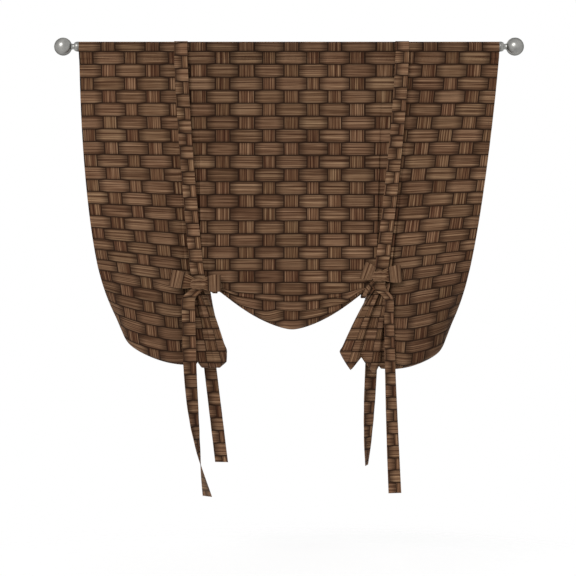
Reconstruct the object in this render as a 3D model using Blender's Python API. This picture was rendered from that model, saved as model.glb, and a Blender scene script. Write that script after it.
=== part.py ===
"""A tie-up curtain on its rod, in metres, +Z up, seen from -Y, with the origin on the rod's axis.

One hemmed panel hangs by a sewn pocket from a tube with two ball finials. A front and a back strap
at each side gather it, and a bow ties them, so that the panel hangs below as a swag, two tails and
two full sides. A point of the cloth is named by u, its place across, and v, its place down from the
top of the pocket.
"""

import math

import bmesh
import bpy
import numpy as np
from mathutils import Vector

# Cloth: the panel is 46 by 38 inches below the top of its pocket
PANEL_WIDTH = 1.170
PANEL_LENGTH = 0.965
CLOTH_THICKNESS = 0.0010
STRAP_WIDTH = 0.037
STRAP_THICKNESS = 0.0012
CLEARANCE = 0.0003

# Rod and finials
ROD_DIAMETER = 0.025
ROD_WALL = 0.0012
ROD_END_GAP = 0.0010
BALL_DIAMETER = 0.050
NECK_DIAMETER = 0.017
NECK_LENGTH = 0.0085
COLLAR_DIAMETER = 0.029
COLLAR_LENGTH = 0.011
GROOVE_DEPTH = 0.0012
PLUG_LENGTH = 0.030
ROUND_STEPS = 24

# Pocket round the rod, and where a strap is held on it, in degrees from its top
POCKET_SLACK = 0.0010
POCKET_DEPTH = 0.034
POCKET_STOPS = (12, 40, 68, 90)

# Where the straps gather the cloth
TIE_DEPTH = 0.670
GATHER_INNER = 0.222
GATHER_EASE = 1.5
PLEATS = 3
PLEAT_DEPTH = 0.020

# Swag between the ties: its drop is a share of the cloth below them
SWAG_SHARE = 0.433
SWAG_CENTRE = 0.009
SWAG_POINT = 0.017
SWAG_SLOPE = 0.2
SWAG_BEND = 1.76
SWAG_FULLNESS = 0.040
SWAG_TURN = math.radians(190)
LEAST_DROP = 0.008

# Sides and tails below the ties
SIDE_SHIFT = 0.016
SIDE_FULLNESS = 0.038
SIDE_TURN = math.radians(130)
SIDE_SAG = 0.030
HEM_CURL = 0.022
MOST_CURLED = 0.45
EDGE_CURL_LENGTH = 0.110
EDGE_CURL = math.radians(114)
CURL_AT_TOP = 0.02
CURL_AT_TIE = 0.22
CURL_EASE = 0.4
TILT_AT_TIE = math.radians(12)
TILT_AT_HEM = math.radians(23)
TAIL_FOLD = 1 / 3
TAIL_LAP = 0.080
TAIL_BOWED = 0.8
TAIL_HELD = 0.3
PLEAT_FADES = 0.5

# Bows: an ear's stops are shares of its length, of half its depth and of its height
BOW_HEIGHT = 0.030
BOW_DEPTH = 0.016
BOW_LENGTH = 0.034
BOW_ROUNDNESS = 0.8
EAR_HEIGHT = 0.044
EAR_DEPTH = 0.014
EAR_STOPS = (
    (0.10, 0.25, 0.45), (0.55, 0.90, 0.85), (0.85, 0.95, 1.0), (1.0, 0.0, 1.0),
    (0.85, -0.95, 1.0), (0.55, -0.90, 0.85), (0.10, -0.25, 0.45),
)
TONGUE_WIDTH = 0.011
TONGUE_INSET = 0.017
TONGUE_SLACK = 0.006
TONGUE_SLANT = math.radians(50)
BACK_STRAP_Y = 0.012
END_START = 0.012
END_STEPS = 9
TWIST_EASE = 2.2

# How far down the panel a strap is held, and how late it moves across towards the tie
FRONT_STOPS = (0.06, 0.25, 0.5, 0.75, 0.92, 1.0)
BACK_STOPS = (0.06, 0.3, 0.6, 0.85, 0.96, 1.0)
FRONT_REACHED = 0.9
STRAP_EASE = 1.4

# The two sides are tied by hand and differ a little. Each has the sign of x, the strap's place at the
# top, the width of cloth it takes in and the width that this is held in, how late the taking in shows
# down the panel, and how far the tail's tip flares inwards. The hem is a zigzag of the pleats: places
# across the cloth that is taken in, each with its drop as a share of the cloth below the tie. A bow is
# raised above the tie, and each ear, the one at the left first, has a length and a tilt. A strap's end
# has its place across at its top and its low end, how late it moves across, its drop and its twist.
SIDES = {
    "left": dict(
        sign=-1, strap_top=0.301, taken=0.100, held=0.058, onset=1.8, flare=0.067,
        hem=((TAIL_FOLD, 0.66), (0.40, 0.77), (0.55, 0.83), (0.88, 0.83), (0.95, 0.77), (1.0, 0.80)),
        raised=0.009, ears=((0.078, math.radians(15)), (0.062, math.radians(12))),
        front_end=dict(top=0.278, low=0.226, late=2.6, drop=0.579, twist=math.radians(135)),
        back_end=dict(top=0.248, low=0.190, late=1.0, drop=0.493, twist=math.radians(-12)),
    ),
    "right": dict(
        sign=1, strap_top=0.315, taken=0.126, held=0.055, onset=1.2, flare=0.098,
        hem=((TAIL_FOLD, 0.67), (0.58, 0.855), (0.69, 0.72), (0.91, 0.90), (0.96, 0.81), (1.0, 0.84)),
        raised=0.031, ears=((0.048, math.radians(20)), (0.062, math.radians(6))),
        front_end=dict(top=0.276, low=0.293, late=1.5, drop=0.570, twist=math.radians(14)),
        back_end=dict(top=0.245, low=0.219, late=0.8, drop=0.502, twist=math.radians(76)),
    ),
}

POCKET_RADIUS = ROD_DIAMETER / 2 + CLEARANCE + POCKET_SLACK + CLOTH_THICKNESS / 2
POCKET_CENTRE = -POCKET_SLACK
SEAM_DROP = POCKET_DEPTH + POCKET_CENTRE
POCKET_TURN = math.pi - math.acos(POCKET_RADIUS / SEAM_DROP)
POCKET_ARC = POCKET_RADIUS * POCKET_TURN
POCKET_FLAT = math.sqrt(SEAM_DROP**2 - POCKET_RADIUS**2)
SEAM_V = POCKET_ARC + POCKET_FLAT
TIE_V = SEAM_V + TIE_DEPTH - POCKET_DEPTH
HANGING = PANEL_LENGTH - TIE_V
SWAG_DROP = SWAG_SHARE * HANGING
PANEL_Y = -CLOTH_THICKNESS / 2 - CLEARANCE
STRAP_OFFSET = POCKET_RADIUS + CLOTH_THICKNESS / 2 + CLEARANCE + STRAP_THICKNESS / 2
ROD_END = PANEL_WIDTH / 2 + ROD_END_GAP


def mix(a, b, share):
    return a + (b - a) * share


def spaced(first, last, steps):
    return [mix(first, last, i / steps) for i in range(steps)]


def material(name, colour, roughness, metallic=0.0):
    made = bpy.data.materials.new(name)
    made.use_nodes = True
    shader = made.node_tree.nodes["Principled BSDF"]
    shader.inputs["Base Color"].default_value = (*colour, 1.0)
    shader.inputs["Roughness"].default_value = roughness
    shader.inputs["Metallic"].default_value = metallic
    return made


def new_object(name, mesh, finish):
    made = bpy.data.objects.new(name, mesh)
    mesh.materials.append(finish)
    bpy.context.scene.collection.objects.link(made)
    return made


# Cloth


def pocket(v):
    """Y and z of the cloth round the rod: v is 0 on top, positive down the front, negative down the back."""
    if abs(v) <= POCKET_ARC:
        angle = v / POCKET_RADIUS
        return -POCKET_RADIUS * math.sin(angle), POCKET_CENTRE + POCKET_RADIUS * math.cos(angle)
    share = (abs(v) - POCKET_ARC) / POCKET_FLAT
    y = mix(POCKET_RADIUS * math.sin(POCKET_TURN), -PANEL_Y, share)
    z = mix(POCKET_RADIUS * math.cos(POCKET_TURN), -SEAM_DROP, share)
    return -math.copysign(y, v), POCKET_CENTRE + z


def progress(v):
    """How far down the panel v is, from 0 at the pocket's seam to 1 at the ties."""
    return min(max((v - SEAM_V) / (TIE_V - SEAM_V), 0.0), 1.0)


def hook(w, drop, turn):
    """How far down and back a column of cloth is at w below the tie: a run, then a curl at its low end."""
    curl = min(HEM_CURL, drop * MOST_CURLED)
    run = drop - curl
    along = w / HANGING * (run + curl * turn)
    if along <= run:
        return along, 0.0
    angle = (along - run) / curl
    return run + curl * math.sin(angle), curl * (1 - math.cos(angle))


def swag_drop(u):
    """How far the swag's low edge hangs below the ties: most near the middle, least beside a tie."""
    off = abs(u - SWAG_CENTRE)
    rise = SWAG_SLOPE * (math.hypot(off, SWAG_POINT) - SWAG_POINT) + SWAG_BEND * off**2
    free = SWAG_DROP - rise
    return (free + math.hypot(free, 2 * LEAST_DROP)) / 2


def middle_point(u, v):
    """Between the straps: a flat panel, and below the ties a swag that bellies forward."""
    if v <= TIE_V:
        return u, PANEL_Y, SEAM_V - POCKET_DEPTH - v
    drop = swag_drop(u)
    down, back = hook(v - TIE_V, drop, SWAG_TURN)
    belly = SWAG_FULLNESS * drop / SWAG_DROP * math.sin(math.pi * (v - TIE_V) / HANGING)
    return u, PANEL_Y + back - belly, -TIE_DEPTH - down


def hem_drop(side, share):
    """How far the taken-in cloth's hem hangs below the tie, from the tail's tip outwards."""
    places, drops = zip(*side["hem"])
    return float(np.interp(share, places, drops)) * HANGING


def gather_point(side, share, v):
    """Behind a strap: pleats from the swag's side, share 0, to the outer side, 1, that open as a tail."""
    gone = progress(v)
    held = mix(side["taken"], side["held"], gone ** side["onset"])
    across = GATHER_INNER + share * held
    pleat = PLEAT_DEPTH * gone**GATHER_EASE * (1 - math.cos(2 * math.pi * PLEATS * share)) / 2
    if v <= TIE_V:
        return side["sign"] * across, PANEL_Y - pleat, SEAM_V - POCKET_DEPTH - v
    fold = min(share / TAIL_FOLD, 1.0)
    past = max((share - TAIL_FOLD) / (1 - TAIL_FOLD), 0.0)
    tip = hem_drop(side, TAIL_FOLD)
    drop = hem_drop(side, share)
    if fold < 1:
        drop = mix(swag_drop(side["sign"] * GATHER_INNER), tip, fold**TAIL_BOWED)
    down, back = hook(v - TIE_V, drop, mix(SWAG_TURN, SIDE_TURN, fold))
    inwards = mix(side["flare"], SIDE_SHIFT, past) * mix(TAIL_HELD, 1.0, fold)
    inwards *= (down / tip) ** TAIL_BOWED
    lap = TAIL_LAP * fold * (1 - fold) * min(3 * down / tip, 1.0)
    belly = pleat * (1 - PLEAT_FADES * down / drop)
    return side["sign"] * (across - inwards), PANEL_Y + back + lap - belly, -TIE_DEPTH - down


def side_point(side, off, v):
    """Outside a strap: rows that tilt down towards the tie, full below it, with the edge curled back."""
    width = PANEL_WIDTH / 2 - GATHER_INNER - side["taken"]
    gone = progress(v)
    low = max((v - TIE_V) / HANGING, 0.0)
    x, y, z = gather_point(side, 1.0, v)
    tilt = TILT_AT_TIE * gone**GATHER_EASE + (TILT_AT_HEM - TILT_AT_TIE) * low
    bend = EDGE_CURL * mix(mix(CURL_AT_TOP, CURL_AT_TIE, gone**CURL_EASE), 1.0, low**GATHER_EASE)
    radius = EDGE_CURL_LENGTH / bend
    angle = max(off - (width - EDGE_CURL_LENGTH), 0.0) / radius
    reach = min(off, width - EDGE_CURL_LENGTH) + radius * math.sin(angle)
    full = (gone**3 + math.sin(math.pi * low)) / 2
    share = off / width
    belly = SIDE_FULLNESS * full * math.sin(math.pi * share**TAIL_BOWED)
    sag = SIDE_SAG * low * 4 * share * (1 - share)
    x += side["sign"] * reach * math.cos(tilt)
    return x, y + radius * (1 - math.cos(angle)) - belly, z + reach * math.sin(tilt) - sag


def cloth_point(u, v):
    """The place of a point of the cloth, u across and v down."""
    side = SIDES["left" if u < 0 else "right"]
    past = abs(u) - GATHER_INNER
    if past <= 0:
        x, y, z = middle_point(u, v)
    elif past <= side["taken"]:
        x, y, z = gather_point(side, past / side["taken"], v)
    else:
        x, y, z = side_point(side, past - side["taken"], v)
    if v < SEAM_V:
        y, z = pocket(v)
    return Vector((x, y, z))


def panel_columns():
    """U of each column of the mesh, closer together where the cloth is pleated."""
    edge = PANEL_WIDTH / 2
    left = GATHER_INNER + SIDES["left"]["taken"]
    right = GATHER_INNER + SIDES["right"]["taken"]
    return (
        spaced(-edge, -left, 9)
        + spaced(-left, -GATHER_INNER, 4 * PLEATS)
        + spaced(-GATHER_INNER, GATHER_INNER, 14)
        + spaced(GATHER_INNER, right, 4 * PLEATS)
        + spaced(right, edge, 9)
        + [edge]
    )


def panel_rows():
    """V of each row of the mesh, from the pocket's back seam over the rod and down to the hem."""
    return (
        [-SEAM_V]
        + spaced(-POCKET_ARC, POCKET_ARC, 12)
        + [POCKET_ARC]
        + spaced(SEAM_V, TIE_V, 7)
        + spaced(TIE_V, PANEL_LENGTH, 14)
        + [PANEL_LENGTH]
    )


def build_panel(finish):
    columns = panel_columns()
    rows = panel_rows()
    wide = len(columns)
    points = [cloth_point(u, v) for v in rows for u in columns]
    faces = [
        (i * wide + j, (i + 1) * wide + j, (i + 1) * wide + j + 1, i * wide + j + 1)
        for i in range(len(rows) - 1)
        for j in range(wide - 1)
    ]
    mesh = bpy.data.meshes.new("curtain_panel")
    mesh.from_pydata(points, [], faces)
    mesh.shade_smooth()
    panel = new_object("curtain_panel", mesh, finish)
    solidify = panel.modifiers.new("Cloth thickness", "SOLIDIFY")
    solidify.thickness = CLOTH_THICKNESS
    solidify.offset = 0.0
    return points


# Straps


def smooth_stations(stations, steps):
    """Stations of (centre, across, width), however far apart, joined by one smooth curve."""
    rows = np.array([[*centre, *(across * width)] for centre, across, width in stations])
    gaps = np.linalg.norm(np.diff(rows[:, :3], axis=0), axis=1)[:, None]
    slopes = np.diff(rows, axis=0) / gaps
    inner = (slopes[:-1] * gaps[1:] + slopes[1:] * gaps[:-1]) / (gaps[:-1] + gaps[1:])
    tangents = np.vstack([slopes[:1], inner, slopes[-1:]])
    made = []
    for i, gap in enumerate(gaps):
        for t in spaced(0.0, 1.0, steps):
            start = (1 + 2 * t) * (1 - t) ** 2 * rows[i] + t * (1 - t) ** 2 * gap * tangents[i]
            finish = t**2 * (3 - 2 * t) * rows[i + 1] - t**2 * (1 - t) * gap * tangents[i + 1]
            made.append(start + finish)
    made.append(rows[-1])
    return [(Vector(row[:3]), Vector(row[3:])) for row in made]


def band_mesh(name, stations, steps=3):
    """A flat band of the strap's thickness, swept through the stations. Its two faces are cut into
    triangles along matching diagonals, so that they stay apart where it twists."""
    line = smooth_stations(stations, steps)
    mesh = bmesh.new()
    rings = []
    for i, (centre, span) in enumerate(line):
        ahead = line[min(i + 1, len(line) - 1)][0]
        behind = line[max(i - 1, 0)][0]
        face = (ahead - behind).cross(span).normalized() * STRAP_THICKNESS / 2
        corners = (span / 2 + face, span / 2 - face, -span / 2 - face, -span / 2 + face)
        rings.append([mesh.verts.new(centre + corner) for corner in corners])
    for first, second in zip(rings, rings[1:]):
        for k in range(4):
            a, b, c, d = first[k], first[(k + 1) % 4], second[(k + 1) % 4], second[k]
            halves = ((a, b, c), (a, c, d)) if k < 2 else ((a, b, d), (b, c, d))
            for half in halves:
                mesh.faces.new(half)
    mesh.faces.new(reversed(rings[0]))
    mesh.faces.new(rings[-1])
    bmesh.ops.recalc_face_normals(mesh, faces=mesh.faces)
    made = bpy.data.meshes.new(name)
    mesh.to_mesh(made)
    mesh.free()
    return made


def over_the_pocket(x, front):
    """Stations where a strap lies round the top of the pocket, sewn down just short of the crest."""
    stations = []
    for degrees in POCKET_STOPS:
        angle = math.radians(degrees) * (1 if front else -1)
        height = POCKET_CENTRE + STRAP_OFFSET * math.cos(angle)
        centre = Vector((x, -STRAP_OFFSET * math.sin(angle), height))
        stations.append((centre, Vector((1, 0, 0)), STRAP_WIDTH))
    return stations


def clear_of(cloth, x, z, front):
    """The y of the cloth's face, front or back, near a place on a strap; none where no cloth is near."""
    near = [p.y for p in cloth if abs(p.x - x) < STRAP_WIDTH and abs(p.z - z) < 2 * STRAP_WIDTH]
    return (min if front else max)(near, default=None)


def loose_end(cloth, side, end, start_y, front):
    """Stations of a strap's end, which hangs before or behind the cloth and turns as it goes down."""
    stations = []
    y = start_y
    way = -1 if front else 1
    for i in range(1, END_STEPS + 1):
        share = i / END_STEPS
        x = side["sign"] * mix(end["top"], end["low"], share ** end["late"])
        z = -TIE_DEPTH - mix(END_START, end["drop"], share)
        turn = end["twist"] * share**TWIST_EASE
        face = clear_of(cloth, x, z, front)
        if face is not None:
            swing = abs(math.sin(turn)) * STRAP_WIDTH / 2
            beside = face + way * (CLOTH_THICKNESS + STRAP_THICKNESS + CLEARANCE + swing)
            y = way * max(way * y, way * beside)
        across = Vector((math.cos(turn), math.sin(turn), 0))
        stations.append((Vector((x, y, z)), across, STRAP_WIDTH))
    return stations


def strap_front_y():
    """Where the front strap passes the pleats at the tie."""
    return PANEL_Y - PLEAT_DEPTH - CLOTH_THICKNESS / 2 - CLEARANCE - STRAP_THICKNESS / 2


def tie_centre(side):
    return side["sign"] * (GATHER_INNER + side["held"] / 2)


def build_front_strap(name, side, cloth, finish):
    """From the top of the pocket down the front of the pleats, behind the bow, to its loose end."""
    top = side["sign"] * side["strap_top"]
    low = tie_centre(side)
    stations = over_the_pocket(top, front=True)
    for share in FRONT_STOPS:
        y = mix(-STRAP_OFFSET, strap_front_y(), min(share / FRONT_REACHED, 1.0))
        centre = Vector((mix(top, low, share**STRAP_EASE), y, -TIE_DEPTH * share))
        stations.append((centre, Vector((1, 0, 0)), STRAP_WIDTH))
    stations += loose_end(cloth, side, side["front_end"], strap_front_y(), front=True)
    return new_object(name, band_mesh(name, stations), finish)


def build_back_strap(name, side, cloth, finish):
    """Down behind the panel to the tie, where the bow's tongue holds it, and on to its loose end."""
    top = side["sign"] * side["strap_top"]
    low = side["sign"] * side["back_end"]["top"]
    stations = over_the_pocket(top, front=False)
    for share in BACK_STOPS:
        y = mix(STRAP_OFFSET, BACK_STRAP_Y, share**3)
        centre = Vector((mix(top, low, share**STRAP_EASE), y, -TIE_DEPTH * share))
        stations.append((centre, Vector((1, 0, 0)), STRAP_WIDTH))
    stations += loose_end(cloth, side, side["back_end"], BACK_STRAP_Y, front=False)
    return new_object(name, band_mesh(name, stations), finish)


def ear_stations(sign, length, tilt):
    """A loop of the bow: out of the knot along its back, round its tip and in again along its front."""
    out = Vector((sign * math.cos(tilt), 0, math.sin(tilt)))
    across = Vector((-sign * math.sin(tilt), 0, math.cos(tilt)))
    stations = []
    for share, back, wide in EAR_STOPS:
        centre = out * length * share + Vector((0, back * EAR_DEPTH / 2, 0))
        stations.append((centre, across, EAR_HEIGHT * wide))
    return stations


def tongue_stations(side, knot):
    """From the knot under the hem beside the tie and up behind the back strap, which it holds."""
    sign = side["sign"]
    x = sign * (GATHER_INNER - TONGUE_INSET)
    drop = swag_drop(x - sign * TONGUE_WIDTH)
    under = -TIE_DEPTH - drop - CLOTH_THICKNESS - STRAP_THICKNESS - CLEARANCE
    front = strap_front_y() - 2 * STRAP_THICKNESS
    behind = BACK_STRAP_Y + STRAP_THICKNESS + 2 * CLEARANCE
    slanting = Vector((math.cos(TONGUE_SLANT), 0, -math.sin(TONGUE_SLANT) * sign))
    level = Vector((1, 0, 0))
    stations = []
    for place, across in (
        (knot, slanting),
        ((mix(x, knot.x, 0.3), front, mix(under, knot.z, 0.4)), slanting),
        ((x, front, under - TONGUE_SLACK), level),
        ((x, front / 2, under - TONGUE_SLACK / 4), level),
        ((x, behind / 2, under - TONGUE_SLACK / 4), level),
        ((x, behind, under), level),
        ((mix(x, sign * side["back_end"]["top"], 0.4), behind, -TIE_DEPTH + TONGUE_WIDTH), slanting),
        ((sign * side["back_end"]["top"], behind, -TIE_DEPTH + 2 * TONGUE_WIDTH), slanting),
    ):
        stations.append((Vector(place) - knot, across, TONGUE_WIDTH))
    return stations


def build_bow(name, side, finish):
    """Both straps' knot with its two ears and its tongue: a rounded wrap joined to the bands it holds."""
    wrap = bmesh.new()
    bmesh.ops.create_uvsphere(wrap, u_segments=20, v_segments=12, radius=0.5)
    for vert in wrap.verts:
        # A fuller form than an ellipsoid, as of cloth drawn tight round the crossing
        for axis, size in enumerate((BOW_LENGTH, BOW_DEPTH, BOW_HEIGHT)):
            part = vert.co[axis] * 2
            vert.co[axis] = math.copysign(abs(part) ** BOW_ROUNDNESS, part) * size / 2
    mesh = bpy.data.meshes.new(name)
    wrap.to_mesh(mesh)
    wrap.free()
    bow = new_object(name, mesh, finish)
    knot_y = strap_front_y() - STRAP_THICKNESS / 2 - CLEARANCE - BOW_DEPTH / 2
    bow.location = (tie_centre(side), knot_y, -TIE_DEPTH + side["raised"])
    bands = [ear_stations(sign, *ear) for sign, ear in zip((-1, 1), side["ears"])]
    bands.append(tongue_stations(side, bow.location))
    for stations in bands:
        band = new_object(f"{name}_band", band_mesh(f"{name}_band", stations), finish)
        band.location = bow.location
        band.hide_render = True
        band.display_type = "WIRE"
        union = bow.modifiers.new("Band", "BOOLEAN")
        union.operation = "UNION"
        union.object = band
    return bow


# Rod and finials


def turned(name, profile, finish):
    """A body turned round the x axis from a profile of (x, radius) points."""
    mesh = bmesh.new()
    verts = [mesh.verts.new((x, 0, radius)) for x, radius in profile]
    edges = [mesh.edges.new(pair) for pair in zip(verts, verts[1:])]
    bmesh.ops.spin(
        mesh, geom=verts + edges, axis=(1, 0, 0), cent=(0, 0, 0), angle=2 * math.pi,
        steps=ROUND_STEPS, use_merge=True,
    )
    bmesh.ops.remove_doubles(mesh, verts=mesh.verts, dist=1e-6)
    bmesh.ops.recalc_face_normals(mesh, faces=mesh.faces)
    made = bpy.data.meshes.new(name)
    mesh.to_mesh(made)
    mesh.free()
    made.shade_smooth()
    made.set_sharp_from_angle(angle=math.radians(40))
    return new_object(name, made, finish)


def build_rod(finish):
    outer = ROD_DIAMETER / 2
    inner = outer - ROD_WALL
    profile = [(-ROD_END, outer), (ROD_END, outer), (ROD_END, inner), (-ROD_END, inner), (-ROD_END, outer)]
    return turned("curtain_rod", profile, finish)


def build_finial(name, sign, finish):
    """A plug that fits in the rod, a flared collar with a groove, a neck and a ball, turned as one."""
    ball = BALL_DIAMETER / 2
    neck = NECK_DIAMETER / 2
    collar = COLLAR_DIAMETER / 2
    plug = ROD_DIAMETER / 2 - ROD_WALL - CLEARANCE
    neck_angle = math.asin(neck / ball)
    seat = CLEARANCE
    neck_start = seat + COLLAR_LENGTH
    centre = neck_start + NECK_LENGTH + ball * math.cos(neck_angle)
    profile = [
        (-PLUG_LENGTH, 0.0),
        (-PLUG_LENGTH, plug - 0.001),
        (-PLUG_LENGTH + 0.001, plug),
        (seat, plug),
        (seat, collar - 0.0006),
        (seat + 0.0006, collar),
        (seat + 0.35 * COLLAR_LENGTH, collar),
        (seat + 0.42 * COLLAR_LENGTH, collar - GROOVE_DEPTH),
        (seat + 0.50 * COLLAR_LENGTH, collar - GROOVE_DEPTH),
        (seat + 0.57 * COLLAR_LENGTH, collar - 0.0004),
        (neck_start, mix(neck, collar, 0.45)),
        (neck_start, neck),
        (neck_start + 0.5 * NECK_LENGTH, neck - 0.0005),
    ]
    arc_steps = 12
    for i in range(arc_steps):
        angle = mix(math.pi - neck_angle, 0.0, i / arc_steps)
        profile.append((centre + ball * math.cos(angle), ball * math.sin(angle)))
    profile.append((centre + ball, 0.0))
    placed = [(sign * (ROD_END + x), radius) for x, radius in profile]
    return turned(name, placed, finish)


def main():
    for old in list(bpy.data.objects):
        bpy.data.objects.remove(old)
    cloth = material("basket_print_cloth", (0.15, 0.085, 0.045), 0.85)
    band = material("basket_print_band", (0.17, 0.095, 0.05), 0.85)
    metal = material("satin_nickel", (0.62, 0.62, 0.61), 0.28, 1.0)
    points = build_panel(cloth)
    for label, side in SIDES.items():
        build_front_strap(f"front_strap_{label}", side, points, band)
        build_back_strap(f"back_strap_{label}", side, points, band)
        build_bow(f"tie_bow_{label}", side, band)
        build_finial(f"finial_{label}", side["sign"], metal)
    build_rod(metal)


main()
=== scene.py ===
"""The looks of a tie-up curtain: printed cloth, tied straps, stitching and satin nickel, in metres.

A point of the panel is named by u, its place across, and v, its place down from the top of the pocket.
The cloth's shape, its print and its stitches all follow from those two.
"""

import math

import bmesh
import bpy
import numpy as np
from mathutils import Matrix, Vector


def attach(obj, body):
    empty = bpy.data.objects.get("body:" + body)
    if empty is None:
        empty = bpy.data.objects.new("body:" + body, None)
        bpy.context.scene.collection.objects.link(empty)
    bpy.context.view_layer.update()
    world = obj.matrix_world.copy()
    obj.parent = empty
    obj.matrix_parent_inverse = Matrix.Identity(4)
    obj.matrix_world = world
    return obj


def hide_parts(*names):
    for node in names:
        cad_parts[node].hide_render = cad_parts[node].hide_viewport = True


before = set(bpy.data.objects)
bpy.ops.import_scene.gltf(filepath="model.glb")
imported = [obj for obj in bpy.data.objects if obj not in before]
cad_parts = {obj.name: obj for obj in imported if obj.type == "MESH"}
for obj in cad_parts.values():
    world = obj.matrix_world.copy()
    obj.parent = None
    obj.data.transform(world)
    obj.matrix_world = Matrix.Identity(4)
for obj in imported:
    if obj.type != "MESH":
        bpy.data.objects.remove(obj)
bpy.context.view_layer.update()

# Camera: a pixel of the photograph is 2.786 mm at the rod
PHOTO_PIXELS = 576
PIXEL = 0.002786
VIEW_WIDTH = PHOTO_PIXELS * PIXEL
VIEW_CENTRE = (-0.0028, -0.6725)
VIEW_DISTANCE = 5.0

# Light and floor
WORLD_LIGHT = 0.52
KEY_LIGHT = 1.72
KEY_WAY = (0.42, 1.0, -0.42)
BACK_LIGHT = 0.9
BACK_WAY = (0.35, -1.0, -0.35)
LAMP_SOFTNESS = math.radians(34)
FLOOR_Z = -1.52
FLOOR_RADIUS = 1.6
FLOOR_FADES = (0.8, 1.55)
FLOOR_GLOW = 0.32

# Cloth: the panel, the straps and the single cloth of a bow
PANEL_WIDTH = 1.170
PANEL_LENGTH = 0.965
CLOTH = 0.0008
HEM_EXTRA = 0.0010
SIDE_HEM = 0.014
BOTTOM_HEM = 0.022
STRAP_WIDTH = 0.037
STRAP_CLOTH = 0.0012
STRAP_HEM = 0.004
STRAP_HEM_EXTRA = 0.0006
BOW_CLOTH = 0.0009
CLEARANCE = 0.0003
HEM_STEP = 0.0015

# Rod, finials and the pocket round the rod
ROD_END = PANEL_WIDTH / 2 + 0.0010
BALL_DIAMETER = 0.050
NECK_DIAMETER = 0.017
NECK_LENGTH = 0.0085
COLLAR_DIAMETER = 0.029
COLLAR_LENGTH = 0.011
COLLAR_RIM = 0.0012
GROOVE_WIDTH = 0.0010
GROOVE_DEPTH = 0.0022
GROOVE_EDGE = 0.0001
COLLAR_TAPER = 0.45
NECK_WAIST = 0.0008
PLUG_DIAMETER = 0.022
PLUG_LENGTH = 0.030
PLUG_CHAMFER = 0.001
TURNED_STEPS = 72
POCKET_RADIUS = 0.0143
POCKET_CENTRE = -0.0010
POCKET_DEPTH = 0.034
SEAM_DROP = POCKET_DEPTH + POCKET_CENTRE
POCKET_TURN = math.pi - math.acos(POCKET_RADIUS / SEAM_DROP)
POCKET_ARC = POCKET_RADIUS * POCKET_TURN
POCKET_FLAT = math.sqrt(SEAM_DROP**2 - POCKET_RADIUS**2)
SEAM_V = POCKET_ARC + POCKET_FLAT
PANEL_Y = -0.0008
STRAP_OFFSET = POCKET_RADIUS + 0.0005 + CLEARANCE + STRAP_CLOTH / 2

# Where the straps gather the cloth
TIE_DEPTH = 0.670
TIE_V = SEAM_V + TIE_DEPTH - POCKET_DEPTH
HANGING = PANEL_LENGTH - TIE_V
GATHER_INNER = 0.222
PLEATS = 3
PLEAT_DEPTH = 0.020
PLEAT_RISE = 0.78
PLEAT_LEAN = 0.0060
STRAP_FRONT_Y = PANEL_Y - PLEAT_DEPTH - 0.0005 - CLEARANCE - STRAP_CLOTH / 2
BACK_STRAP_Y = 0.012

# Stops along a strap: degrees round the pocket, then shares of the way down to the tie, then its loose end
POCKET_STOPS = (12, 40, 68, 90)
FRONT_STOPS = (0.06, 0.25, 0.5, 0.75, 0.92, 1.0)
BACK_STOPS = (0.06, 0.3, 0.6, 0.85, 0.96, 1.0)
END_STOPS = (0.035, *np.linspace(0, 1, 10)[1:])
END_START = 0.012
FRONT_REACHED = 0.9
STRAP_EASE = 1.4
TWIST_EASE = 2.2
STRAP_STEPS = 9
BOW_STEPS = 6

# Swag between the ties
SWAG_DROP = 0.433 * HANGING
SWAG_CENTRE = 0.009
SWAG_POINT = 0.017
SWAG_SLOPE = 0.2
SWAG_BEND = 1.76
SWAG_FULLNESS = 0.040
SWAG_TURN = math.radians(190)
LEAST_DROP = 0.008

# Small folds: those across the swag are (level, slant, first u, last u), the first two as shares of HANGING
SWAG_FOLDS = ((0.24, -0.05, -0.205, 0.15), (0.38, 0.20, -0.04, 0.195))
SWAG_FOLD_DEPTH = 0.0095
SWAG_FOLD_FADE = 0.14
SWAG_FOLD_SOFT = 0.014
SWAG_FOLD_ENDS = 0.035
WAVE_DEPTH = 0.0016
SEAM_PUCKER_DEPTH = 0.0007
TIE_CREASE_DEPTH = 0.0060

# Sides and tails below the ties
SIDE_SHIFT = 0.016
SIDE_FULLNESS = 0.038
SIDE_TURN = math.radians(130)
SIDE_SAG = 0.030
HEM_CURL = 0.022
MOST_CURLED = 0.45
EDGE_CURL_LENGTH = 0.110
EDGE_CURL = math.radians(114)
TILT_AT_TIE = math.radians(12)
TILT_AT_HEM = math.radians(23)
TAIL_FOLD = 1 / 3
TAIL_LAP = 0.080
TAIL_BOWED = 0.8

# Print: a plain basket weave, whose rows and warps have these places and sizes, and the painted light on
# each copy of it, lighter on the straps
ROW_PITCH = 0.03634
FIRST_ROW = 0.0372
WARP_PITCH = 0.1262
FIRST_WARP = 0.0050
WARP_WIDTHS = (0.0345, 0.0405)
WARP_VARIES = 0.0030
PRINT_SHIFTS = (
    (-0.56, 0.0015), (-0.40, 0.0060), (-0.30, 0.0080), (-0.12, -0.0035), (0.0, -0.0022), (0.07, 0.0010),
    (0.19, 0.0075), (0.27, -0.0130), (0.40, -0.0080), (0.58, -0.0075),
)
GAP_ACROSS = 0.0019
GAP_DOWN = 0.0009
PRINT_WANDER = 0.0022
STRAND_PITCH = 0.0068
GRAIN_PITCH = 0.0062
PANEL_PAINTED_LIGHT = 1.0
BAND_PAINTED_LIGHT = 1.15
REVERSE_DULLED = 0.30

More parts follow.
